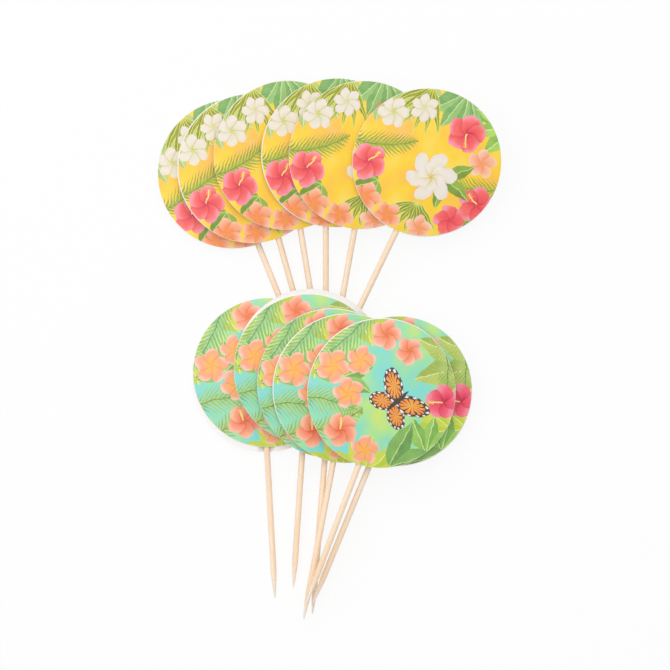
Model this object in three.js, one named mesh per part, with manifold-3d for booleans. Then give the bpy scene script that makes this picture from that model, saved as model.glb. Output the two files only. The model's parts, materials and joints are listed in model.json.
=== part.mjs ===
// A set of twelve round party picks lying on a table in two fans, six yellow above and six turquoise
// below. Each pick is a round of printed card with a pointed wooden stick glued on its back, under a round
// of paper.
import * as THREE from "three";
import { mergeVertices } from "three/addons/utils/BufferGeometryUtils.js";
import Module from "manifold-3d";

const wasm = await Module();
wasm.setup();

// Card and paper rounds, in millimetres
const disc_diameter = 50;
const card_thickness = 0.35;
const paper_thickness = 0.2;

// Wooden stick
const stick_diameter = 2;
const stick_length = 85;
const point_length = 9;
const point_diameter = 0.4;
const blunt_chamfer = 0.2;

// Paper tent over the stick: how far it spreads beside the stick and past its blunt end
const tent_spread = 2.5;
const tent_run_out = 4;

// Glue beside the stick and round its blunt end, down to a little below the stick's axis
const glue_spread = 1.2;
const glue_sag = 0.5;
const glue_past_end = 2;
const glue_inside_rim = 3;

// Clearances between bonded pieces, and between picks that lie on each other
const bond_gap = 0.05;
const rest_gap = 0.3;

// How far a pick may tip along its stick and lean to its side, so that the rounds stay near level
const most_pitch_deg = 8;
const most_lean_deg = 9;

// Fineness of the solids and of the search for the resting places
const disc_segments = 48;
const stick_segments = 10;
const tent_steps = 4;
const glue_steps = 3;
const sample_step = 0.8;
const search_steps = 18;

// The two fans in the order in which the picks were laid. The press point is where the hand and the picks
// laid later push a pick down: along the stick and to the right of it, both from the middle of the round.
// disc: middle of the round on the table. heading_deg: the stick's turn from +Y, clockwise from above.
// past_middle: how far the blunt end lies past the round's middle.
// off_axis: how far the round's middle lies to the right of the stick.
// paper: how far the paper round was glued off the card's middle, to the right and towards the blunt end.
const fans = [
  {
    name: "yellow",
    print_colour: 0xe9bf3d,
    press: { along: -30, side: 12 },
    picks: [
      { disc: [-34.6, 54.0], heading_deg: -22.0, past_middle: 10.4, off_axis: 0.7, paper: [0.2, -0.1] },
      { disc: [-28.0, 55.8], heading_deg: -15.6, past_middle: 10.0, off_axis: -2.45, paper: [-0.2, 0.1] },
      { disc: [-16.1, 60.2], heading_deg: -9.2, past_middle: 10.0, off_axis: -0.5, paper: [0.1, 0.2] },
      { disc: [0.1, 61.1], heading_deg: 0, past_middle: 10.0, off_axis: 3.2, paper: [-0.2, -0.1] },
      { disc: [9.2, 60.3], heading_deg: 10.1, past_middle: 10.0, off_axis: -1.8, paper: [0.2, 0.1] },
      { disc: [30.6, 57.9], heading_deg: 25.6, past_middle: 10.0, off_axis: -0.9, paper: [0.1, -0.2] },
    ],
  },
  {
    name: "aqua",
    print_colour: 0x6fd3cb,
    press: { along: -10, side: 12 },
    picks: [
      { disc: [-22.6, -12.6], heading_deg: -3.1, past_middle: 9.3, off_axis: 1.65, paper: [-0.4, -1.6] },
      { disc: [-9.3, -11.2], heading_deg: 3.8, past_middle: 11.1, off_axis: -0.2, paper: [0.6, 1.8] },
      { disc: [-1.5, -16.1], heading_deg: 4.55, past_middle: 7.2, off_axis: -0.1, paper: [0.2, 0.2] },
      { disc: [3.9, -17.8], heading_deg: 10.7, past_middle: 6.1, off_axis: -0.2, paper: [-0.2, 0.1] },
      { disc: [20.9, -18.6], heading_deg: 22.3, past_middle: 8.8, off_axis: -0.85, paper: [0.2, -0.2] },
      { disc: [15.4, -19.4], heading_deg: 20.7, past_middle: 10.9, off_axis: -1.5, paper: [-0.1, 0.2] },
    ],
  },
];

const disc_radius = disc_diameter / 2;
const stick_radius = stick_diameter / 2;
const tent_half_width = stick_radius + tent_spread;
const glue_half_width = stick_radius + glue_spread;

// A pick's own frame has its origin on the stick's axis, abreast of the round's middle. +X is to the right
// of the stick, +Y runs from the point towards the blunt end, and +Z comes out of the printed face.
const card_back = stick_radius + bond_gap;
const card_front = card_back + card_thickness;
const paper_inside = card_back - bond_gap;
const tent_depth = paper_inside + stick_radius + bond_gap;

// How far the point lies below the middle of the round
const reachOf = (pick) => stick_length - pick.past_middle;

// The stick's radius at a distance from its point, or nothing past its ends
function stickRadiusAt(fromPoint) {
  if (fromPoint < 0 || fromPoint > stick_length) return -1;
  const share = Math.min(fromPoint / point_length, 1);
  return (point_diameter / 2) * (1 - share) + stick_radius * share;
}

// A rise from 0 to 1 and level at both ends, as paper bends
const easeUp = (share) => (1 - Math.cos(Math.PI * Math.min(Math.max(share, 0), 1))) / 2;

// How far the paper hangs below its flat part where it goes over the stick
function tentAt(pick, x, y) {
  const across = easeUp(1 - Math.abs(x) / tent_half_width);
  const along = easeUp((pick.past_middle + tent_run_out - y) / tent_run_out);
  return tent_depth * across * along;
}

const materials = {
  card: (colour) => new THREE.MeshStandardMaterial({ color: colour, roughness: 0.35, metalness: 0 }),
  wood: () => new THREE.MeshStandardMaterial({ color: 0xe3c7a4, roughness: 0.7, metalness: 0 }),
  glue: () => new THREE.MeshStandardMaterial({ color: 0xe9e4d2, roughness: 0.3, metalness: 0 }),
  paper: () => new THREE.MeshStandardMaterial({ color: 0xf6f4ef, roughness: 0.9, metalness: 0 }),
};

function toSolid(geometry) {
  const bare = geometry.clone();
  bare.deleteAttribute("normal");
  bare.deleteAttribute("uv");
  const merged = mergeVertices(bare, 1e-4);
  const triVerts = new Uint32Array(merged.index.array);
  const vertProperties = new Float32Array(merged.attributes.position.array);
  return new wasm.Manifold(new wasm.Mesh({ numProp: 3, vertProperties, triVerts }));
}

function toGeometry(solid) {
  const mesh = solid.getMesh();
  return new THREE.BufferGeometry()
    .setAttribute("position", new THREE.BufferAttribute(new Float32Array(mesh.vertProperties), 3))
    .setIndex(new THREE.BufferAttribute(new Uint32Array(mesh.triVerts), 1));
}

// A solid between two height fields over a grid of x and y stations
function blanket(xs, ys, upper, lower) {
  const layer = (height) => ys.flatMap((y) => xs.flatMap((x) => [x, y, height(x, y)]));
  const positions = [...layer(upper), ...layer(lower)];
  const columns = xs.length;
  const rows = ys.length;
  const at = (side, row, column) => (side * rows + row) * columns + column;
  const indices = [];
  const quad = (a, b, c, d) => indices.push(a, b, c, a, c, d);
  for (let row = 0; row + 1 < rows; row++) {
    for (let column = 0; column + 1 < columns; column++) {
      quad(at(0, row, column), at(0, row, column + 1), at(0, row + 1, column + 1), at(0, row + 1, column));
      quad(at(1, row, column), at(1, row + 1, column), at(1, row + 1, column + 1), at(1, row, column + 1));
    }
    quad(at(0, row, 0), at(0, row + 1, 0), at(1, row + 1, 0), at(1, row, 0));
    const last = columns - 1;
    quad(at(0, row + 1, last), at(0, row, last), at(1, row, last), at(1, row + 1, last));
  }
  for (let column = 0; column + 1 < columns; column++) {
    quad(at(0, 0, column + 1), at(0, 0, column), at(1, 0, column), at(1, 0, column + 1));
    const last = rows - 1;
    quad(at(0, last, column), at(0, last, column + 1), at(1, last, column + 1), at(1, last, column));
  }
  const geometry = new THREE.BufferGeometry();
  geometry.setAttribute("position", new THREE.Float32BufferAttribute(positions, 3));
  geometry.setIndex(indices);
  return toSolid(geometry);
}

function roundGeometry(radius, thickness, x, y, z) {
  const geometry = new THREE.CylinderGeometry(radius, radius, thickness, disc_segments);
  return geometry.rotateX(Math.PI / 2).translate(x, y, z + thickness / 2);
}

function frontDiscGeometry(pick) {
  return roundGeometry(disc_radius, card_thickness, pick.off_axis, 0, card_back);
}

function stickProfile(pick, allowance) {
  const radius = stick_radius + allowance;
  const end = pick.past_middle + allowance;
  return [
    new THREE.Vector2(0, -reachOf(pick)),
    new THREE.Vector2(point_diameter / 2, -reachOf(pick)),
    new THREE.Vector2(radius, -reachOf(pick) + point_length),
    new THREE.Vector2(radius, end - blunt_chamfer),
    new THREE.Vector2(radius - blunt_chamfer, end),
    new THREE.Vector2(0, end),
  ];
}

function stickGeometry(pick, allowance = 0) {
  return new THREE.LatheGeometry(stickProfile(pick, allowance), stick_segments);
}

const evenly = (from, to, steps) =>
  Array.from({ length: steps + 1 }, (_, i) => from + ((to - from) * i) / steps);

// The glue fills the tent beside the stick and goes round its blunt end, up to the back of the card
function glueGeometry(pick) {
  const from = glue_inside_rim - disc_radius;
  const end = pick.past_middle;
  const xs = evenly(-glue_half_width, glue_half_width, 2 * glue_steps);
  const ys = [from, ...evenly(end, end + glue_past_end, glue_steps)];
  const lower = (x, y) => Math.max(paper_inside - tentAt(pick, x, y) + bond_gap, -glue_sag);
  const bead = blanket(xs, ys, () => card_back - bond_gap, lower);
  return toGeometry(bead.subtract(toSolid(stickGeometry(pick, bond_gap))));
}

// The paper is flat round the tent, and cut round at its own middle
function backDiscGeometry(pick) {
  const [right, up] = pick.paper;
  const middle = pick.off_axis + right;
  const end = pick.past_middle;
  const side = disc_radius + tent_half_width;
  const xs = [middle - side, ...evenly(-tent_half_width, tent_half_width, 2 * tent_steps), middle + side];
  const ys = [up - side, ...evenly(end, end + tent_run_out, tent_steps), up + side];
  const upper = (x, y) => paper_inside - tentAt(pick, x, y);
  const sheet = blanket(xs, ys, upper, (x, y) => upper(x, y) - paper_thickness);
  const outline = roundGeometry(disc_radius, 4 * tent_depth, middle, up, -2 * tent_depth);
  return toGeometry(sheet.intersect(toSolid(outline)));
}

// A pick's place: its origin and axes, from its disc's middle in plan, its heading, height and two slopes
function placeFor(pick, height, pitch, lean) {
  const heading = THREE.MathUtils.degToRad(pick.heading_deg);
  const ahead = new THREE.Vector3(Math.sin(heading), Math.cos(heading), pitch).normalize();
  const right = new THREE.Vector3(Math.cos(heading), -Math.sin(heading), lean);
  right.addScaledVector(ahead, -right.dot(ahead)).normalize();
  const up = new THREE.Vector3().crossVectors(right, ahead);
  const origin = new THREE.Vector3(pick.disc[0], pick.disc[1], height);
  origin.addScaledVector(right, -pick.off_axis);
  return { origin, right, ahead, up };
}

function worldPoint(place, x, y, z) {
  const point = place.origin.clone().addScaledVector(place.right, x);
  return point.addScaledVector(place.ahead, y).addScaledVector(place.up, z);
}

// Points all over a pick's underside, in its own frame
function undersideSamples(pick) {
  const samples = [];
  const [shiftX, shiftY] = pick.paper;
  const flat = paper_inside - paper_thickness;
  const reach = disc_radius + Math.max(Math.abs(shiftX), Math.abs(shiftY));
  for (let y = -reach; y <= reach; y += sample_step) {
    for (let x = -reach; x <= reach; x += sample_step) {
      const onCard = Math.hypot(x, y) <= disc_radius;
      const onPaper = Math.hypot(x - shiftX, y - shiftY) <= disc_radius;
      const fromStick = x + pick.off_axis;
      if (onPaper) samples.push([fromStick, y, flat - tentAt(pick, fromStick, y)]);
      else if (onCard) samples.push([fromStick, y, card_back]);
    }
  }
  for (let fromPoint = 0; fromPoint < stick_length; fromPoint += sample_step) {
    const radius = stickRadiusAt(fromPoint);
    const y = fromPoint - reachOf(pick);
    const covered = y > shiftY - disc_radius ? paper_thickness + bond_gap : 0;
    for (const share of [-0.9, -0.5, 0, 0.5, 0.9]) {
      samples.push([radius * share, y, -radius * Math.sqrt(1 - share * share) - covered]);
    }
  }
  return samples;
}

// The top of a laid pick above a point of the table, or far below it where the pick isn't there
function topOf(laid, x, y) {
  const { origin, right, ahead, up } = laid.place;
  const [shiftX, shiftY] = laid.pick.paper;
  const levelAt = (layer) => origin.z + (layer - up.x * (x - origin.x) - up.y * (y - origin.y)) / up.z;
  const ownPoint = (z) => {
    const offset = new THREE.Vector3(x, y, z).sub(origin);
    return [offset.dot(right), offset.dot(ahead)];
  };
  const front = levelAt(card_front);
  const [cardX, cardY] = ownPoint(front);
  if (Math.hypot(cardX - laid.pick.off_axis, cardY) <= disc_radius) return front;
  const paper = levelAt(paper_inside);
  const [paperX, paperY] = ownPoint(paper);
  if (Math.hypot(paperX - laid.pick.off_axis - shiftX, paperY - shiftY) <= disc_radius) return paper;
  const axis = levelAt(0);
  const [stickX, stickY] = ownPoint(axis);
  const radius = stickRadiusAt(stickY + reachOf(laid.pick));
  if (Math.abs(stickX) > radius) return -Infinity;
  return axis + Math.sqrt(radius * radius - stickX * stickX) / up.z;
}

// The lowest that the point may lie, above the table or above a pick below it
function floorUnder(pile, x, y) {
  let floor = 0;
  for (const laid of pile) floor = Math.max(floor, topOf(laid, x, y) + rest_gap);
  return floor;
}

// Where a function with one valley is lowest
function lowestOf(cost, from, to) {
  for (let i = 0; i < search_steps; i++) {
    const third = (to - from) / 3;
    if (cost(from + third) < cost(to - third)) to -= third;
    else from += third;
  }
  return (from + to) / 2;
}

// Lays a pick on the pile. Its two slopes are those at which the press point sinks lowest, and then it is
// let down until it all but touches.
function lay(pick, press, pile) {
  const samples = undersideSamples(pick);
  const level = placeFor(pick, 0, 0, 0);
  const floors = samples.map(([x, y]) => {
    const point = worldPoint(level, x, y, 0);
    return floorUnder(pile, point.x, point.y);
  });
  const heightAt = (pitch, lean) => {
    let height = -Infinity;
    for (let i = 0; i < samples.length; i++) {
      const [x, y, z] = samples[i];
      height = Math.max(height, floors[i] - z - pitch * y - lean * (x - pick.off_axis));
    }
    return height;
  };
  const pressed = (pitch, lean) => heightAt(pitch, lean) + pitch * press.along + lean * press.side;
  const mostPitch = Math.tan(THREE.MathUtils.degToRad(most_pitch_deg));
  const mostLean = Math.tan(THREE.MathUtils.degToRad(most_lean_deg));
  const bestPitch = (lean) => lowestOf((pitch) => pressed(pitch, lean), -mostPitch, mostPitch);
  const lean = lowestOf((trial) => pressed(bestPitch(trial), trial), -mostLean, mostLean);
  const pitch = bestPitch(lean);
  const place = placeFor(pick, 0, pitch, lean);
  let lift = -Infinity;
  for (const [x, y, z] of samples) {
    const point = worldPoint(place, x, y, z);
    lift = Math.max(lift, floorUnder(pile, point.x, point.y) - point.z);
  }
  place.origin.z += lift;
  return { pick, place };
}

function namedMesh(name, geometry, material) {
  const mesh = new THREE.Mesh(geometry, material);
  mesh.name = name;
  return mesh;
}

function pickGroup(name, pick, place, fan) {
  const group = new THREE.Group();
  group.add(
    namedMesh(`${name}_front_disc`, frontDiscGeometry(pick), materials.card(fan.print_colour)),
    namedMesh(`${name}_stick`, stickGeometry(pick), materials.wood()),
    namedMesh(`${name}_glue_bead`, glueGeometry(pick), materials.glue()),
    namedMesh(`${name}_back_disc`, backDiscGeometry(pick), materials.paper()),
  );
  group.quaternion.setFromRotationMatrix(new THREE.Matrix4().makeBasis(place.right, place.ahead, place.up));
  group.position.copy(place.origin);
  return group;
}

const pick_set = new THREE.Group();
const pile = [];
for (const fan of fans) {
  fan.picks.forEach((pick, index) => {
    const laid = lay(pick, fan.press, pile);
    pile.push(laid);
    pick_set.add(pickGroup(`${fan.name}_${index + 1}`, pick, laid.place, fan));
  });
}

// The set stands on its origin: the middle of its outline, at the table
const bounds = new THREE.Box3().setFromObject(pick_set, true);
const middle = bounds.getCenter(new THREE.Vector3());
pick_set.position.set(-middle.x, -middle.y, -bounds.min.z);

export default pick_set;
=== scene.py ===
import json
import math
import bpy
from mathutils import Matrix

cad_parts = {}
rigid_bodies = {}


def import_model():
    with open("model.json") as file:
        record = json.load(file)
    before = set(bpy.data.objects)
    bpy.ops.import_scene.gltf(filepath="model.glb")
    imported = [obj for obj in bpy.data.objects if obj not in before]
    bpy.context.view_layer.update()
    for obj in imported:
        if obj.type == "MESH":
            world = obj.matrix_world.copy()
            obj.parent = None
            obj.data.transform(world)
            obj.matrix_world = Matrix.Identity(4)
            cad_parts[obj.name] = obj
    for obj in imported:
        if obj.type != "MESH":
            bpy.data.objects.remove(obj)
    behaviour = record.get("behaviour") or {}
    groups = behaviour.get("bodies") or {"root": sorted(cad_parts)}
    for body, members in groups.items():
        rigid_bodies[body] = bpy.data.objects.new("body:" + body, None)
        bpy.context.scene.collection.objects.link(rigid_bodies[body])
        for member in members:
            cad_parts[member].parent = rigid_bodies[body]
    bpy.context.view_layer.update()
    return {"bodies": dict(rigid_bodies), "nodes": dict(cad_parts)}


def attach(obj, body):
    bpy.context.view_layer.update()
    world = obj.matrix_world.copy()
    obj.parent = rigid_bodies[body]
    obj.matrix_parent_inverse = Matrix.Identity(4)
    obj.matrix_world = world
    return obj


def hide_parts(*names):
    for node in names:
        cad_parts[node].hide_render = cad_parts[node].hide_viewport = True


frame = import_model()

from types import SimpleNamespace

import bmesh
import bpy
import numpy as np
from mathutils import Matrix, Vector


# The set is twelve party picks that lie loose on a table in two fans. Each pick's place is read from its
# solids: the stick gives the way it points and the card its slope. In a pick's own frame +X is to the right
# of the stick, +Y runs from its point to its blunt end, and +Z comes out of the printed face.
mm = 0.001
upper_face_rise = 0.5


def middle_of(node):
    """The middle of a node's surface."""
    faces = frame["nodes"][node].data.polygons
    areas = [face.area for face in faces]
    return Vector(np.average([face.center for face in faces], axis=0, weights=areas))


def longest_way(node):
    """The direction in which a node is longest, from the second moments of its surface."""
    mesh = frame["nodes"][node].data
    middle = np.array(middle_of(node))
    corners = np.array([[mesh.vertices[i].co for i in face.vertices] for face in mesh.polygons]) - middle
    areas = np.array([face.area for face in mesh.polygons])
    sums = corners.sum(1)
    of_corners = np.einsum("n,nij,nik->jk", areas, corners, corners)
    of_sums = np.einsum("n,nj,nk->jk", areas, sums, sums)
    return Vector(np.linalg.eigh(of_corners + of_sums)[1][:, 2])


def facing_up(node):
    """The direction of a flat node's upper face."""
    faces = [face for face in frame["nodes"][node].data.polygons if face.normal.z > upper_face_rise]
    return sum((face.normal * face.area for face in faces), Vector()).normalized()


def read_place(pick):
    """Where a pick lies, and its own frame's numbers for its card, stick and paper."""
    card_middle = middle_of(f"{pick}_front_disc")
    stick_middle = middle_of(f"{pick}_stick")
    ahead = longest_way(f"{pick}_stick")
    if ahead.y < 0:
        ahead.negate()
    up = facing_up(f"{pick}_front_disc")
    up = (up - ahead * up.dot(ahead)).normalized()
    origin = stick_middle + ahead * (card_middle - stick_middle).dot(ahead)
    matrix = Matrix((ahead.cross(up), ahead, up)).transposed().to_4x4()
    matrix.translation = origin
    inverse = matrix.inverted()

    def own(node):
        return np.array([inverse @ vertex.co for vertex in frame["nodes"][node].data.vertices])

    card, stick, paper = own(f"{pick}_front_disc"), own(f"{pick}_stick"), own(f"{pick}_back_disc")
    return SimpleNamespace(
        matrix=matrix,
        card_middle=(card.min(0) + card.max(0))[:2] / 2,
        card_radius=np.ptp(card[:, 1]) / 2,
        card_back=card[:, 2].min(),
        card_front=card[:, 2].max(),
        point=stick[:, 1].min(),
        blunt_end=stick[:, 1].max(),
        stick_radius=stick[:, 2].max(),
        paper_middle=(paper.min(0) + paper.max(0))[:2] / 2,
        paper_inside=paper[:, 2].max(),
    )


pick_names = list(frame["bodies"])
places = {pick: read_place(pick) for pick in pick_names}


# Front round: coated white card, printed on one side and then punched out, so its upper edge is pressed a
# little round and a sliver of unprinted card shows at the rim. The picture sits a little off the middle,
# as sheets shift under the punch. It is glued to the front of the stick.
card_segments = 160
card_width = 2 * places[pick_names[0]].card_radius
pressed_edge = 0.05 * mm
burr_edge = 0.02 * mm
rim_share = 0.99
face_share = 0.49
smooth_below = math.radians(35)
coat_relief = 0.004 * mm
coat_roughness = 0.34
board_rougher_by = 0.4
ink_end_mm = 0.02
bare_rim_mm = 0.08
print_shift_mm = {
    "yellow_1": (0.3, -0.2), "yellow_2": (-0.2, 0.3), "yellow_3": (0.2, 0.2),
    "yellow_4": (-0.3, -0.1), "yellow_5": (0.1, 0.3), "yellow_6": (-0.1, -0.2),
    "aqua_1": (-0.2, 0.2), "aqua_2": (0.3, 0.1), "aqua_3": (0.1, -0.3),
    "aqua_4": (-0.3, 0.2), "aqua_5": (0.2, 0.1), "aqua_6": (-0.1, -0.1),
}


def begin(piece):
    """Leaves only this piece selected and opens it for editing, with nothing in it selected."""
    bpy.ops.object.select_all(action="DESELECT")
    bpy.context.view_layer.objects.active = piece
    piece.select_set(True)
    bpy.ops.object.mode_set(mode="EDIT")
    bpy.ops.mesh.select_all(action="DESELECT")


def middle_of_part(part):
    """The place of a corner, or the middle of an edge."""
    if isinstance(part, bmesh.types.BMVert):
        return part.co
    return sum((corner.co for corner in part.verts), Vector()) / len(part.verts)


def pick_out(piece, kind, wanted):
    """Selects the edges or corners whose middle passes the test."""
    bpy.ops.mesh.select_mode(type=kind)
    bpy.ops.mesh.select_all(action="DESELECT")
    work = bmesh.from_edit_mesh(piece.data)
    for part in {"VERT": work.verts, "EDGE": work.edges}[kind]:
        part.select_set(bool(wanted(middle_of_part(part))))
    work.select_flush_mode()
    bmesh.update_edit_mesh(piece.data)


def settle(piece):
    """Ends the editing, moves the piece's place into its mesh and smooths its rounded faces."""
    bpy.ops.object.mode_set(mode="OBJECT")
    bpy.ops.object.transform_apply(location=True, rotation=True, scale=True)
    bpy.ops.object.shade_smooth_by_angle(angle=smooth_below)


def copy_to(master, name, matrix):
    """A copy of a finished piece with a mesh of its own, moved by the matrix."""
    piece = master.copy()
    piece.data = master.data.copy()
    piece.name = name
    piece.data.name = name
    piece.data.transform(matrix)
    bpy.context.scene.collection.objects.link(piece)
    return piece


def model_card(place):
    """The card at its height in its pick's own frame, with its middle on the frame's Z axis."""
    thickness = place.card_front - place.card_back
    bpy.ops.object.select_all(action="DESELECT")
    bpy.ops.mesh.primitive_cylinder_add(
        vertices=card_segments, radius=place.card_radius, depth=thickness, end_fill_type="NGON",
        location=(0, 0, place.card_back + thickness / 2),
    )
    card = bpy.context.object
    begin(card)
    rim = place.card_radius * rim_share
    face = thickness * face_share
    pick_out(card, "EDGE", lambda at: at.z > face and at.xy.length > rim)
    bpy.ops.mesh.bevel(offset=pressed_edge, segments=3, affect="EDGES")
    pick_out(card, "EDGE", lambda at: at.z < -face and at.xy.length > rim)
    bpy.ops.mesh.bevel(offset=burr_edge, segments=1, affect="EDGES")
    settle(card)
    return card


def map_card(card, name, shift):
    """A flat map over the card, in widths of the card, moved by a shift in metres."""
    layer = card.data.uv_layers.new(name=name)
    for loop in card.data.loops:
        at = card.data.vertices[loop.vertex_index].co
        across, forth = at.x + shift[0], at.y + shift[1]
        layer.data[loop.index].uv = across / card_width + 0.5, forth / card_width + 0.5


def mark(piece, name, kind, values):
    """Writes one value for each corner of the mesh under a name that its finish reads."""
    marks = piece.data.attributes.new(name, kind, "POINT")
    field = "vector" if kind == "FLOAT_VECTOR" else "value"
    marks.data.foreach_set(field, np.ravel(values))


def corners_of(piece):
    return np.array([vertex.co for vertex in piece.data.vertices])


def ink(code):
    """A colour from its screen code, in the shader's linear values."""
    shares = [(code >> shift & 255) / 255 for shift in (16, 8, 0)]
    linear = [share / 12.92 if share <= 0.04045 else ((share + 0.055) / 1.055) ** 2.4 for share in shares]
    return (*linear, 1.0)


class Tone:
    """A value that changes over a finish. Arithmetic on it adds the Math nodes."""

    def __init__(self, tree, socket=None):
        self.tree = tree
        self.socket = socket

    def node(self, kind, settings=None, sockets=None, output=0):
        """Adds a node of any kind: its settings first, then the values or links of its sockets."""
        made = self.tree.nodes.new(kind)
        for name, value in (settings or {}).items():
            if name == "stops":
                for _ in range(len(value) - 2):
                    made.color_ramp.elements.new(0.5)
                for stop, (position, colour) in zip(made.color_ramp.elements, value):
                    stop.position = position
                    stop.color = colour
            else:
                setattr(made, name, value)
        for name, value in (sockets or {}).items():
            if isinstance(value, Tone):
                self.tree.links.new(value.socket, made.inputs[name])
            else:
                made.inputs[name].default_value = value
        return Tone(self.tree, made.outputs[output])

    def sibling(self, output):
        """Another output of the node that this value comes from."""
        return Tone(self.tree, self.socket.node.outputs[output])

    def maths(self, operation, *values):
        return self.node("ShaderNodeMath", {"operation": operation}, dict(enumerate(values)))

    def vector_maths(self, operation, *values, output=0):
        return self.node("ShaderNodeVectorMath", {"operation": operation}, dict(enumerate(values)), output)

    def __add__(self, other):
        return self.maths("ADD", self, other)

    __radd__ = __add__

    def __sub__(self, other):
        return self.maths("SUBTRACT", self, other)

    def __rsub__(self, other):
        return self.maths("SUBTRACT", other, self)

    def __mul__(self, other):
        return self.maths("MULTIPLY", self, other)

    __rmul__ = __mul__

    def __truediv__(self, other):
        return self.maths("DIVIDE", self, other)

    def __pow__(self, power):
        return self.maths("POWER", self, power)

    def __abs__(self):
        return self.maths("ABSOLUTE", self)

    def ease(self, low, high):
        """0 at low and 1 at high, with a smooth rise between."""
        return self.node(
            "ShaderNodeMapRange", {"interpolation_type": "SMOOTHSTEP"},
            {"Value": self, "From Min": low, "From Max": high},
        )

    def tint(self, below, above):
        """The colour below where this value is 0 and the colour above where it is 1."""
        first_colour, second_colour, mixed_colour = 6, 7, 2
        sockets = {0: self, first_colour: below, second_colour: above}
        return self.node("ShaderNodeMix", {"data_type": "RGBA"}, sockets, mixed_colour)

    def ramp(self, *stops):
        """A colour that runs through the stops, each a position and a screen code."""
        inked = [(at, ink(code)) for at, code in stops]
        return self.node("ShaderNodeValToRGB", {"stops": inked}, {"Fac": self})

    def noise(self, vector, scale, detail=2.0, output=0):
        sockets = {"Vector": vector, "Scale": scale, "Detail": detail}
        return self.node("ShaderNodeTexNoise", {}, sockets, output)


def start_finish(name, **constants):
    """A new material with its constant shader values, and a Tone to build its nodes from."""
    material = bpy.data.materials.new(name)
    material.use_nodes = True
    shader = material.node_tree.nodes["Principled BSDF"]
    for socket, value in constants.items():
        shader.inputs[socket.replace("_", " ")].default_value = value
    return material, Tone(material.node_tree)


def wear_finish(material, colour, roughness, relief, depth):
    """Links a material's varying colour, roughness and relief, depth metres deep, to its shader."""
    tree = material.node_tree
    shader = tree.nodes["Principled BSDF"]
    tree.links.new(colour.socket, shader.inputs["Base Color"])
    tree.links.new(roughness.socket, shader.inputs["Roughness"])
    bump = relief.node("ShaderNodeBump", {}, {"Height": relief, "Distance": depth, "Strength": 1.0})
    tree.links.new(bump.socket, shader.inputs["Normal"])


def in_millimetres(base, layer):
    """The place on a card in millimetres from its middle, by one of its flat maps."""
    width = card_width / mm
    return base.node(
        "ShaderNodeMapping", {"vector_type": "POINT"},
        {
            "Vector": base.node("ShaderNodeUVMap", {"uv_map": layer}),
            "Scale": (width, width, 1),
            "Location": (-width / 2, -width / 2, 0),
        },
    )


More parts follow.
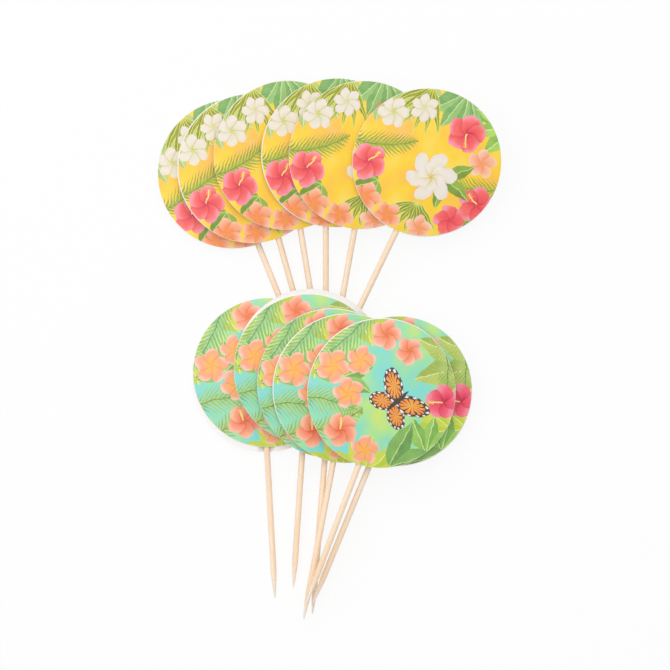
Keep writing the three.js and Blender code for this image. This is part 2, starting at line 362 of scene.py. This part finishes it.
class Print:
    """A picture in inks, in millimetres from the middle of the round. Each motif lies over those before it.
    Its outlines drift a little, and a wash of ink varies over it."""

    drift_mm = 1.5
    ink_edge_mm = 0.14
    stalk_ink = 0xFBE08A
    pollen_ink = 0xFBC24A

    def __init__(self, base):
        self.base = base
        self.flat = in_millimetres(base, "print")
        drift = base.noise(self.flat, scale=0.35, detail=3.0, output="Color")
        centred = base.vector_maths("SUBTRACT", drift, (0.5, 0.5, 0.5))
        shift = base.vector_maths("MULTIPLY", centred, (self.drift_mm,) * 3)
        self.place = base.vector_maths("ADD", self.flat, shift)
        self.wash = base.noise(self.flat, scale=0.22, detail=5.0).ease(0.3, 0.7)
        self.picture = None

    def lay(self, cover, colour):
        self.picture = cover.tint(self.picture, colour)

    def spot(self, at, turn):
        """The place from a motif's own root: along the motif, to its left, and the distance."""
        own = self.base.node(
            "ShaderNodeMapping", {"vector_type": "TEXTURE"},
            {"Vector": self.place, "Location": (*at, 0), "Rotation": (0, 0, math.radians(turn))},
        )
        along = self.base.node("ShaderNodeSeparateXYZ", {}, {0: own}, "X")
        return along, along.sibling("Y"), self.base.vector_maths("LENGTH", own, output="Value")

    def leaves(self, at, turn, length, width, inks, count, fan, rim=None):
        """Pointed leaves from one root, an odd count of them spread over a fan of degrees. The inks are for
        the darker and the lighter half of a leaf and for its midrib. A rim has an ink of its own."""
        rib_edge_mm = (0.22, 0.08)
        rim_edge_mm = (0.42, 0.15)
        belly, narrowing = 2.6, 1.2
        past_tip = 1.02
        vein_slant = 1.2
        veins, least_vein_gap = 11, 0.9
        vein_gap = max(length / veins, least_vein_gap)
        along, left, _ = self.spot(at, turn)
        step = math.radians(fan) / (count - 1)
        most = (count - 1) / 2
        number = left.maths("ROUND", left.maths("ARCTAN2", left, along) / step)
        turned = number.maths("MAXIMUM", number.maths("MINIMUM", number, most), -most) * step
        cosine, sine = turned.maths("COSINE", turned), turned.maths("SINE", turned)
        along, left = along * cosine + left * sine, left * cosine - along * sine
        share = along / length
        share = share.maths("MINIMUM", share, past_tip)
        half = share * (1 - share) * (belly - narrowing * share) * width
        inside = half - abs(left)
        vein = (along - abs(left) * vein_slant) * (2 * math.pi / vein_gap)
        vein = vein.maths("SINE", vein).ease(0.5, 1.0)
        tone = left.ease(-0.2, 0.2) * 0.45 + vein * 0.2 + self.wash * 0.35
        colour = tone.tint(ink(inks[0]), ink(inks[1]))
        colour = abs(left).ease(*rib_edge_mm).tint(colour, ink(inks[2]))
        if rim:
            colour = inside.ease(*rim_edge_mm).tint(colour, ink(rim))
        self.lay(inside.ease(0, self.ink_edge_mm), colour)

    def frond(self, at, turn, length, width, inks, bow, gap):
        """A feather frond: a bowed rib with leaflets on both sides that point to its tip. The inks are for a
        leaflet's middle, its edge and the rib."""
        rib_edge_mm = (0.2, 0.08)
        slant = 1.0
        fullness = 1.2
        bluntness = 0.55
        along, left, _ = self.spot(at, turn)
        share = along / length
        swell = share * (1 - share)
        out = abs(left - swell * (4 * bow))
        reach = (swell * 4) ** bluntness * (width / 2)
        comb = (along - out * slant) / gap
        comb = abs(comb.maths("FRACT", comb) - 0.5) * 2
        leaflet = (1 - out / reach) * fullness - comb
        inside = swell.ease(0, 0.01)
        tone = comb * 0.5 + self.wash * 0.5
        self.lay(leaflet.ease(0, 0.3) * inside, tone.tint(ink(inks[0]), ink(inks[1])))
        self.lay(out.ease(*rib_edge_mm) * inside, ink(inks[2]))

    def blossom(self, at, turn, radius, petals, inks, notch=0.35, twist=0.5, heart=0.3):
        """An open flower: petals that overlap like a pinwheel round a heart. The inks run from the middle to
        the rim, and the last one shades the petals where they overlap."""
        overlap = (0.36, 0.5)
        shade = 0.45
        along, left, away = self.spot(at, turn)
        sector = (left.maths("ARCTAN2", left, along) + away * (twist / radius)) * (petals / (2 * math.pi))
        petal = sector.maths("FRACT", sector) - 0.5
        edge = abs(petal)
        lobe = radius - edge * edge * (4 * notch * radius)
        tone = away / radius + petal * 0.35 + self.wash * 0.25 - 0.1
        colour = tone.ramp((0.0, inks[0]), (heart, inks[1]), (0.72, inks[2]), (1.0, inks[3]))
        colour = (edge.ease(*overlap) * shade).tint(colour, ink(inks[4]))
        self.lay((lobe - away).ease(0, self.ink_edge_mm), colour)

    def stamen(self, at, turn, length):
        """A flower's stamen: a slender stalk with pollen grains beside its end."""
        stalk_edge_mm = (0.3, 0.16)
        grains_per_mm = 1.4
        along, left, _ = self.spot(at, turn)
        stalk = abs(left).ease(*stalk_edge_mm) * along.ease(length, length * 0.9) * along.ease(0, 0.3)
        self.lay(stalk, ink(self.stalk_ink))
        row = along * grains_per_mm
        dots = abs(row.maths("FRACT", row) - 0.5) + abs(abs(left) - 0.5)
        dots = dots.ease(0.34, 0.22) * along.ease(length * 0.55, length * 0.6)
        self.lay(dots * along.ease(length, length * 0.95), ink(self.pollen_ink))

    def twig(self, at, turn, length, thickness, code, bow):
        """A bare twig that is bowed to its left and thins out towards its tip."""
        waviness = 0.5
        tip_share = 0.2
        along, left, _ = self.spot(at, turn)
        share = along / length
        swell = share * (1 - share)
        side = abs(left - swell * (4 * bow) - self.wash * waviness)
        self.lay((1 + tip_share - share) * thickness - side, ink(code))

    def butterfly(self, at, turn, span, inks):
        """A butterfly from above, with bright fields and pale spots on dark wings. A wing is an ellipse:
        its middle along the body and out from it, its tilt in degrees, and its half axes."""
        hind_wing = (-0.19, 0.18, -28, 0.25, 0.155)
        fore_wing = (0.13, 0.25, 28, 0.33, 0.17)
        wing_edge, field_edge, spot_edge = (1.05, 0.95), (0.62, 0.5), (0.9, 0.6)
        spots_at = 0.8
        rays = 12
        body_length, body_width = 0.26 * span, 0.035 * span
        along, left, _ = self.spot(at, turn)
        out = abs(left)
        for middle_along, middle_out, tilt, long_half, short_half in (hind_wing, fore_wing):
            cosine, sine = math.cos(math.radians(tilt)), math.sin(math.radians(tilt))
            across, forth = out - middle_out * span, along - middle_along * span
            far = (across * cosine + forth * sine) / (long_half * span)
            wide = (forth * cosine - across * sine) / (short_half * span)
            wing = far * far + wide * wide
            spread = far.maths("ARCTAN2", wide, far) * (rays / (2 * math.pi))
            ray = abs(spread.maths("FRACT", spread) - 0.5)
            self.lay(wing.ease(*wing_edge), ink(inks[0]))
            field = (wing + ray.ease(0.3, 0.5) * 0.8).ease(*field_edge)
            self.lay(field, (wing * 1.4 + self.wash * 0.4).tint(ink(inks[1]), ink(inks[2])))
            spots = (abs(wing - spots_at) * 4 + (0.5 - ray) * 2.4).ease(*spot_edge)
            self.lay(spots, ink(inks[3]))
        body = (along / body_length) ** 2 + (left / body_width) ** 2
        self.lay(body.ease(1.1, 0.8), ink(inks[0]))


def card_finish(name, picture_of):
    """The coated card: its picture on the upper face, and bare white board at the rim, edge and back."""
    material, base = start_finish(name, Specular_IOR_Level=0.5)
    page = Print(base)
    picture_of(page)
    radius = card_width / mm / 2
    disc = in_millimetres(base, "card")
    away = base.vector_maths("LENGTH", disc, output="Value")
    fleck = base.noise(disc, scale=2.2, detail=4.0)
    printed = (away + fleck * 0.06).ease(radius - ink_end_mm, radius - bare_rim_mm)
    layer = base.node("ShaderNodeAttribute", {"attribute_name": "printed"}, {}, "Fac")
    board = fleck.tint(ink(0xE9E5DC), ink(0xF8F6F1))
    colour = (printed * layer).tint(board, page.picture)
    grain = base.noise(disc, scale=9.0, detail=3.0)
    roughness = coat_roughness + grain * 0.1 + (1 - layer) * board_rougher_by
    wear_finish(material, colour, roughness, grain + fleck * 2, coat_relief)
    return material


# Yellow rounds: golden ground with leaves, fan palms, feather fronds, coral and peach flowers and white
# blossoms. The print is a plain tropical pattern in offset inks.
olive_leaf = (0x6F8F30, 0x9DBB50, 0xC9DC80)
coral = (0xC22A44, 0xEE4C57, 0xF96F68, 0xFA9BB0, 0xD03A50)
peach = (0xF3A04A, 0xF98F55, 0xFBB08A, 0xFCC9A8, 0xE0683C)
pale_peach = (0xF3A04A, 0xFBA27A, 0xFCC0A0, 0xFDD6BE, 0xE67C50)
ivory = (0xC9C84A, 0xE4DCB8, 0xEEE4D6, 0xEADCD0, 0xC2B3A2)
white_outside = (0xD8CC5A, 0xE8DFC2, 0xF0E7DC, 0xECE0D6, 0xC6B8A6)
white_inside = (0xD9B23C, 0xEADFB2, 0xF2E9DE, 0xEEE3DA, 0xC6B8A6)


def yellow_picture(page):
    cloud = page.base.noise(page.flat, scale=0.07, detail=2.0)
    page.picture = cloud.ramp((0.3, 0xFBDF66), (0.48, 0xFDD234), (0.62, 0xFDC24C), (0.75, 0xFCCA84))
    page.leaves((-25, 27), -48, 22, 9, (0x9DBB5C, 0xC3D488, 0xD8E2A4), count=3, fan=66)
    page.leaves((3, 28), -80, 16, 6.5, (0x6FA457, 0xA8CE7B, 0xC9E2A0), count=5, fan=100)
    page.leaves((22, 24), -146, 15, 6, (0x7FB04A, 0xBFE46A, 0xE0F0A0), count=3, fan=64)
    page.frond((29, 3), 196, 22, 11, (0x8FA02C, 0xC2C552, 0x7C8E28), bow=1.5, gap=1.4)
    page.frond((14, -28), 72, 24, 11, (0x7E9A38, 0xB4C860, 0x6C8530), bow=-2.0, gap=1.5)
    page.frond((-29, -3), 20, 25, 11, (0x8A9C2E, 0xBCC550, 0x788A2A), bow=-2.0, gap=1.4)
    page.leaves((-9, 25), -118, 19, 2.3, (0x7F8A1E, 0xA3A92C, 0xD8D65A), count=9, fan=116, rim=0xE2E06A)
    page.leaves((3, -13), -90, 13, 1.9, (0x75852A, 0x9DA936, 0xD0D25E), count=7, fan=108, rim=0xDDE07A)
    page.leaves((-12, -12), -140, 11, 5, olive_leaf, count=3, fan=110)
    page.blossom((-13.5, -19), 10, 5.4, 5, peach)
    page.blossom((-4.5, -21.5), 50, 5.0, 5, peach)
    page.blossom((17, 7.5), 20, 5.0, 5, pale_peach)
    page.blossom((7, -21), 20, 4.6, 5, pale_peach)
    page.blossom((-18, -7.5), 0, 6.4, 5, coral, notch=0.2, twist=0.9, heart=0.25)
    page.stamen((-18, -7.5), 62, 5.2)
    page.blossom((8, 14.5), 30, 6.6, 5, coral, notch=0.2, twist=0.9, heart=0.25)
    page.stamen((8, 14.5), -70, 5.2)
    page.blossom((15.5, -14.5), 40, 5.6, 5, coral, notch=0.2, twist=-0.9, heart=0.25)
    page.blossom((21.5, -6), 15, 6.4, 5, coral, notch=0.2, twist=-0.9, heart=0.25)
    page.stamen((21.5, -6), 150, 5.0)
    page.blossom((-17.5, 11), 5, 5.4, 6, ivory, notch=0.3, twist=0.3, heart=0.22)
    page.blossom((-8.5, 16.5), 35, 4.8, 6, ivory, notch=0.3, twist=0.3, heart=0.22)
    page.leaves((8, -2), -20, 11, 4.6, olive_leaf, count=3, fan=130)
    page.blossom((3.5, -3.5), 18, 8.8, 6, white_outside, notch=0.42, twist=0.45, heart=0.2)
    page.blossom((3.5, -3.5), 48, 5.2, 6, white_inside, notch=0.42, twist=0.45, heart=0.3)


# Turquoise rounds: turquoise ground that goes to mint and lime, with lime and green leaves, feather fronds,
# a brown twig, apricot, salmon and rose flowers and a dark butterfly with orange fields.
lime_leaf = (0xB4CC3C, 0xD9E05A, 0xEDF08C)
apricot = (0xFDB23C, 0xFBB85A, 0xFBA585, 0xFBCDB4, 0xE8744E)
salmon = (0xE8743C, 0xF58C62, 0xF9A98A, 0xFBC8B0, 0xD8603E)
dark_salmon = (0xE0602E, 0xF4805A, 0xF9A07E, 0xF9C0A0, 0xD4603C)
rose = (0xB4243E, 0xE8405E, 0xF4657A, 0xF99AAA, 0xC8304C)


def aqua_picture(page):
    cloud = page.base.noise(page.flat, scale=0.06, detail=2.0)
    page.picture = cloud.ramp((0.34, 0x80DCDA), (0.46, 0x8EDDC0), (0.56, 0xA9E39A), (0.7, 0xD2E66C))
    page.leaves((27, -3), 165, 17, 8, lime_leaf, count=3, fan=84)
    page.leaves((-19, 24), -44, 15, 7.5, (0xB4C63A, 0xDCE05C, 0xEFF090), count=3, fan=92)
    page.leaves((-27, 8), -20, 12, 6.5, (0xB8C83E, 0xDCE262, 0xEFF092), count=3, fan=100)
    page.leaves((4, -28), 96, 14, 6, lime_leaf, count=5, fan=130)
    page.leaves((26, 20), -146, 21, 9.5, (0x98B04A, 0xCAD672, 0xE4EAA4), count=3, fan=76)
    page.frond((-12, 28), -118, 30, 13, (0x6CA860, 0xB2DC94, 0x50864A), bow=2.0, gap=1.6)
    page.frond((-29, -12), 8, 26, 12, (0x78AC54, 0xC0E08C, 0x5A8A42), bow=2.0, gap=1.5)
    page.frond((-22, -23), 42, 24, 10, (0x8CAA48, 0xCEDE84, 0x6E8A38), bow=-1.5, gap=1.5)
    page.frond((10, 28), -62, 22, 11, (0x86A84A, 0xC8DA80, 0x688638), bow=1.5, gap=1.4)
    page.twig((28, -9), 212, 32, 0.5, 0x6B4A35, bow=2.5)
    page.leaves((21, -13), 96, 12, 5.6, (0x6FA84A, 0xA9D66A, 0xD0E89A), count=3, fan=76)
    page.leaves((11, -22), 36, 17, 7.5, (0x5C9048, 0x8FBF62, 0xC3E08A), count=3, fan=92)
    page.leaves((-14, 1), 90, 11, 5, (0x6A9A48, 0xA2CC6A, 0xCDE690), count=5, fan=200)
    page.blossom((-18.5, 3), 0, 6.0, 5, apricot)
    page.blossom((-10.5, -3.5), 40, 5.6, 5, apricot)
    page.blossom((-10.5, 8), 15, 5.2, 5, apricot)
    page.blossom((-5.5, 19), 30, 5.4, 5, salmon, notch=0.25, twist=0.9)
    page.blossom((3.8, 16.5), 10, 4.8, 5, salmon, notch=0.25, twist=0.9)
    page.blossom((1.5, -19.5), 24, 5.0, 5, apricot)
    page.blossom((-8.5, -16), 0, 5.8, 5, dark_salmon, notch=0.2, twist=0.9, heart=0.25)
    page.stamen((-8.5, -16), 110, 4.6)
    page.blossom((20.5, 4.5), 25, 6.0, 5, rose, notch=0.2, twist=-0.9, heart=0.25)
    page.stamen((20.5, 4.5), 200, 4.8)
    page.butterfly((6, -0.5), 62, 19, (0x3C3432, 0xFDB54A, 0xF58A3C, 0xF4F0F4))


def model_cards():
    finishes = {
        "yellow": card_finish("yellow_printed_card", yellow_picture),
        "aqua": card_finish("aqua_printed_card", aqua_picture),
    }
    first_place = places[pick_names[0]]
    master = model_card(first_place)
    map_card(master, "card", (0, 0))
    printed_above = first_place.card_front - pressed_edge * 1.01
    mark(master, "printed", "FLOAT", corners_of(master)[:, 2] > printed_above)
    for pick, place in places.items():
        shift = Matrix.Translation((*place.card_middle, 0))
        card = copy_to(master, f"{pick}_printed_card", Matrix.Identity(4))
        map_card(card, "print", [-part * mm for part in print_shift_mm[pick]])
        card.data.transform(place.matrix @ shift)
        colour = pick.split("_")[0]
        card.data.materials.append(finishes[colour])
        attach(card, pick)
        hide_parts(f"{pick}_front_disc")
    bpy.data.objects.remove(master)


model_cards()


# Stick: a round of split bamboo, drawn through a die, cut blunt at one end and ground to a point at the
# other. Its fibres run along it. It is glued behind the card with its blunt end above the middle.
stick_sides = 32
point_length = 9 * mm
point_radius = 0.2 * mm
point_belly = 0.06
point_cuts = 6
blunt_chamfer = 0.2 * mm
blunt_end_share = 0.999
round_side_share = 0.9
cut_tolerance = 0.01 * mm
roll_step = 2.4
wood_step_mm = (7.3, 97.0, 3.1)
fibre_relief = 0.03 * mm
wood_roughness = 0.62


def model_stick(place):
    """The stick along +Y, with its point at the origin."""
    length = place.blunt_end - place.point
    bpy.ops.object.select_all(action="DESELECT")
    bpy.ops.mesh.primitive_cylinder_add(
        vertices=stick_sides, radius=place.stick_radius, depth=length, end_fill_type="TRIFAN",
        location=(0, length / 2, 0), rotation=(-math.pi / 2, 0, 0),
    )
    stick = bpy.context.object
    bpy.ops.object.transform_apply(location=True, rotation=True, scale=True)
    begin(stick)
    end, side = length * blunt_end_share, place.stick_radius * round_side_share
    pick_out(stick, "EDGE", lambda at: at.y > end and at.xz.length > side)
    bpy.ops.mesh.bevel(offset=blunt_chamfer, segments=2, affect="EDGES")
    cuts = [share / point_cuts for share in range(1, point_cuts + 1)]
    for share in cuts:
        bpy.ops.mesh.select_all(action="SELECT")
        bpy.ops.mesh.bisect(plane_co=(0, share * point_length, 0), plane_no=(0, 1, 0))
    for share in [0, *cuts[:-1]]:
        cone = point_radius / place.stick_radius * (1 - share) + share
        taper = cone + point_belly * math.sin(math.pi * share)
        pick_out(stick, "VERT", lambda at: abs(at.y - share * point_length) < cut_tolerance)
        bpy.ops.transform.resize(value=(taper, 1, taper), center_override=(0, share * point_length, 0))
    settle(stick)
    return stick


def wood_finish():
    material, base = start_finish("split_bamboo", Specular_IOR_Level=0.35)
    own = base.node("ShaderNodeAttribute", {"attribute_name": "grain"}, {}, "Vector")

    def stretched(across, along):
        """The place in the wood, scaled so that a noise over it runs along the fibres."""
        return base.node("ShaderNodeMapping", {}, {"Vector": own, "Scale": (across, along, across)})

    fine = base.noise(stretched(6.0, 0.22), scale=1.0, detail=5.0)
    broad = base.noise(stretched(0.9, 0.03), scale=1.0, detail=2.0)
    pores = base.noise(stretched(9.0, 0.8), scale=1.0, detail=1.0).ease(0.62, 0.74)
    tone = fine * 0.6 + broad * 0.4
    colour = tone.ramp((0.3, 0xF3D2AE), (0.5, 0xFCE1C3), (0.7, 0xFFF0DD))
    colour = (pores * 0.3).tint(colour, ink(0xD3A67C))
    ground = base.node("ShaderNodeAttribute", {"attribute_name": "ground_point"}, {}, "Fac")
    colour = (ground * 0.8).tint(colour, ink(0xF3EBE2))
    roughness = wood_roughness + fine * 0.2
    wear_finish(material, colour, roughness, fine - pores * 0.6, fibre_relief)
    return material


def model_sticks():
    wood = wood_finish()
    master = model_stick(places[pick_names[0]])
    for number, (pick, place) in enumerate(places.items()):
        roll = Matrix.Rotation(number * roll_step, 4, "Y")
        stick = copy_to(master, f"{pick}_wooden_stick", roll)
        corners = corners_of(stick)
        mark(stick, "grain", "FLOAT_VECTOR", corners / mm + np.array(wood_step_mm) * number)
        mark(stick, "ground_point", "FLOAT", np.clip(1 - corners[:, 1] / point_length, 0, 1))
        stick.data.transform(place.matrix @ Matrix.Translation((0, place.point, 0)))
        stick.data.materials.append(wood)
        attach(stick, pick)
        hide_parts(f"{pick}_stick")
    bpy.data.objects.remove(master)


model_sticks()


# Glue bead: hot-melt glue that was laid along the blunt end of the stick and squeezed flat between card and
# paper. It has set milky, with small bubbles, and is closed in, so its solid is right as it is.
bubble_relief = 0.05 * mm
glue_roughness = 0.22


def glue_finish():
    material, base = start_finish("set_glue", Specular_IOR_Level=0.5, Subsurface_Weight=0.2)
    place = base.node("ShaderNodeTexCoord", {}, {}, "Object")
    cloud = base.noise(place, scale=600.0, detail=3.0)
    bubble = base.node("ShaderNodeTexVoronoi", {}, {"Vector": place, "Scale": 1400.0}).ease(0.16, 0.1)
    colour = cloud.ramp((0.3, 0xE6DCC0), (0.7, 0xF6F1E2))
    colour = (bubble * 0.4).tint(colour, ink(0xFBF9F2))
    wear_finish(material, colour, glue_roughness + cloud * 0.2, cloud - bubble, bubble_relief)
    return material


glue = glue_finish()
for pick in pick_names:
    bead = frame["nodes"][f"{pick}_glue_bead"]
    bead.data.materials.clear()
    bead.data.materials.append(glue)


# Back round: thin white paper, punched like the card and glued on over the stick. It is flat on the card
# and makes a tent over the stick and its blunt end. On two picks it sits so far off that it shows.
paper_segments = 144
paper_thickness = 0.2 * mm
tent_spread = 2.5 * mm
tent_run_out = 4 * mm
tent_cuts_across = 12
tent_cuts_along = 8
tent_smooth_below = math.radians(40)
bond_gap = 0.05 * mm
pulp_relief = 0.02 * mm
paper_roughness = 0.8


def ease_up(share):
    """0 below 0 and 1 above 1, with a smooth rise between."""
    return (1 - math.cos(math.pi * min(max(share, 0), 1))) / 2


def model_paper(name, place):
    """The paper round in its pick's own frame."""
    half_width = place.stick_radius + tent_spread
    depth = place.paper_inside + place.stick_radius + bond_gap
    bpy.ops.object.select_all(action="DESELECT")
    bpy.ops.mesh.primitive_circle_add(
        vertices=paper_segments, radius=place.card_radius, fill_type="NGON",
        location=(*place.paper_middle, place.paper_inside),
    )
    paper = bpy.context.object
    paper.name = name
    bpy.ops.object.transform_apply(location=True, rotation=True, scale=True)
    begin(paper)
    for cut in range(-tent_cuts_across, tent_cuts_across + 1):
        bpy.ops.mesh.select_all(action="SELECT")
        bpy.ops.mesh.bisect(plane_co=(half_width * cut / tent_cuts_across, 0, 0), plane_no=(1, 0, 0))
    for cut in range(tent_cuts_along + 1):
        line = place.blunt_end + tent_run_out * cut / tent_cuts_along
        bpy.ops.mesh.select_all(action="SELECT")
        bpy.ops.mesh.bisect(plane_co=(0, line, 0), plane_no=(0, 1, 0))
    bpy.ops.object.mode_set(mode="OBJECT")
    tent = paper.vertex_groups.new(name="tent")
    for vertex in paper.data.vertices:
        across = ease_up(1 - abs(vertex.co.x) / half_width)
        along = ease_up((place.blunt_end + tent_run_out - vertex.co.y) / tent_run_out)
        tent.add([vertex.index], across * along, "REPLACE")
    press = paper.modifiers.new("tent", "DISPLACE")
    press.vertex_group = "tent"
    press.direction = "Z"
    press.mid_level = 0
    press.strength = -depth
    bpy.ops.object.modifier_apply(modifier="tent")
    wall = paper.modifiers.new("wall", "SOLIDIFY")
    wall.thickness = paper_thickness
    wall.offset = -1
    bpy.ops.object.modifier_apply(modifier="wall")
    bpy.ops.object.shade_smooth_by_angle(angle=tent_smooth_below)
    return paper


def paper_finish():
    material, base = start_finish("white_paper", Specular_IOR_Level=0.25)
    place = base.node("ShaderNodeTexCoord", {}, {}, "Object")
    pulp = base.noise(place, scale=900.0, detail=5.0)
    cloud = base.noise(place, scale=130.0, detail=2.0)
    crease = base.noise(place, scale=260.0, detail=1.0).ease(0.4, 0.6)
    colour = (pulp * 0.5 + cloud * 0.5).ramp((0.3, 0xF2EDE7), (0.5, 0xF8F4F0), (0.7, 0xFBF9F6))
    wear_finish(material, colour, paper_roughness + pulp * 0.15, pulp + crease * 2, pulp_relief)
    return material


white_paper = paper_finish()
for pick, place in places.items():
    paper = model_paper(f"{pick}_paper_round", place)
    paper.data.transform(place.matrix)
    paper.data.materials.append(white_paper)
    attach(paper, pick)
    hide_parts(f"{pick}_back_disc")


# Table, light and camera: a broad lamp from the upper left and soft light all round. The camera looks
# straight down from far away, so that rounds stay round. Table and sky look plain white to it, but the
# table keeps a share of its shading, and with it the shadows.
table_half = 3.0
table_down = 0.02 * mm
table_keeps = 0.12
lamp_way = Vector((-0.22, 0.34, 1.0)).normalized()
lamp_reach = 1.2
lamp_side = 1.4
lamp_watts = 11.0
sky_strength = 0.52
picture_width = 0.2245
picture_middle = (0.0019156, 0.0047752)
picture_plane = 0.006
camera_lens = 400
camera_sensor = 36
camera_clip = (0.1, 20)


def seen_directly(base):
    """1 for a ray that comes from the camera, straight or by way of a gloss or glass, and 0 for others."""
    ray = base.node("ShaderNodeLightPath")
    glossy, through = ray.sibling("Is Glossy Ray"), ray.sibling("Is Transmission Ray")
    return ray.maths("MAXIMUM", ray, ray.maths("MAXIMUM", glossy, through))


def table_finish():
    material = bpy.data.materials.new("white_table")
    material.use_nodes = True
    tree = material.node_tree
    tree.nodes.remove(tree.nodes["Principled BSDF"])
    base = Tone(tree)
    place = base.node("ShaderNodeTexCoord", {}, {}, "Object")
    board = base.noise(place, scale=40.0).tint(ink(0xF4F4F4), ink(0xF8F8F8))
    matt = base.node("ShaderNodeBsdfDiffuse", {}, {"Color": board})
    white = base.node("ShaderNodeEmission", {}, {"Color": (1, 1, 1, 1), "Strength": 1.0})
    share = seen_directly(base) * (1 - table_keeps)
    mixed = base.node("ShaderNodeMixShader", {}, {0: share, 1: matt, 2: white})
    tree.links.new(mixed.socket, tree.nodes["Material Output"].inputs["Surface"])
    return material


bpy.ops.object.select_all(action="DESELECT")
bpy.ops.mesh.primitive_plane_add(size=2 * table_half, location=(0, 0, -table_down))
table = bpy.context.object
table.name = "table_top"
table.data.materials.append(table_finish())

lamp_data = bpy.data.lights.new("broad_lamp", "AREA")
lamp_data.size = lamp_side
lamp_data.energy = lamp_watts
lamp = bpy.data.objects.new("broad_lamp", lamp_data)
lamp.location = lamp_way * lamp_reach
lamp.rotation_euler = lamp_way.to_track_quat("Z", "Y").to_euler()
bpy.context.scene.collection.objects.link(lamp)

world = bpy.data.worlds.new("soft_light")
world.use_nodes = True
sky_level = sky_strength + seen_directly(Tone(world.node_tree)) * (1 - sky_strength)
background = world.node_tree.nodes["Background"]
world.node_tree.links.new(sky_level.socket, background.inputs["Strength"])
background.inputs["Color"].default_value = (1, 1, 1, 1)
bpy.context.scene.world = world

camera_data = bpy.data.cameras.new("camera")
camera_data.lens = camera_lens
camera_data.sensor_width = camera_sensor
camera_data.clip_start, camera_data.clip_end = camera_clip
camera = bpy.data.objects.new("camera", camera_data)
camera.location = (*picture_middle, picture_plane + picture_width * camera_lens / camera_sensor)
bpy.context.scene.collection.objects.link(camera)
bpy.context.scene.camera = camera
bpy.context.scene.view_settings.view_transform = "Standard"
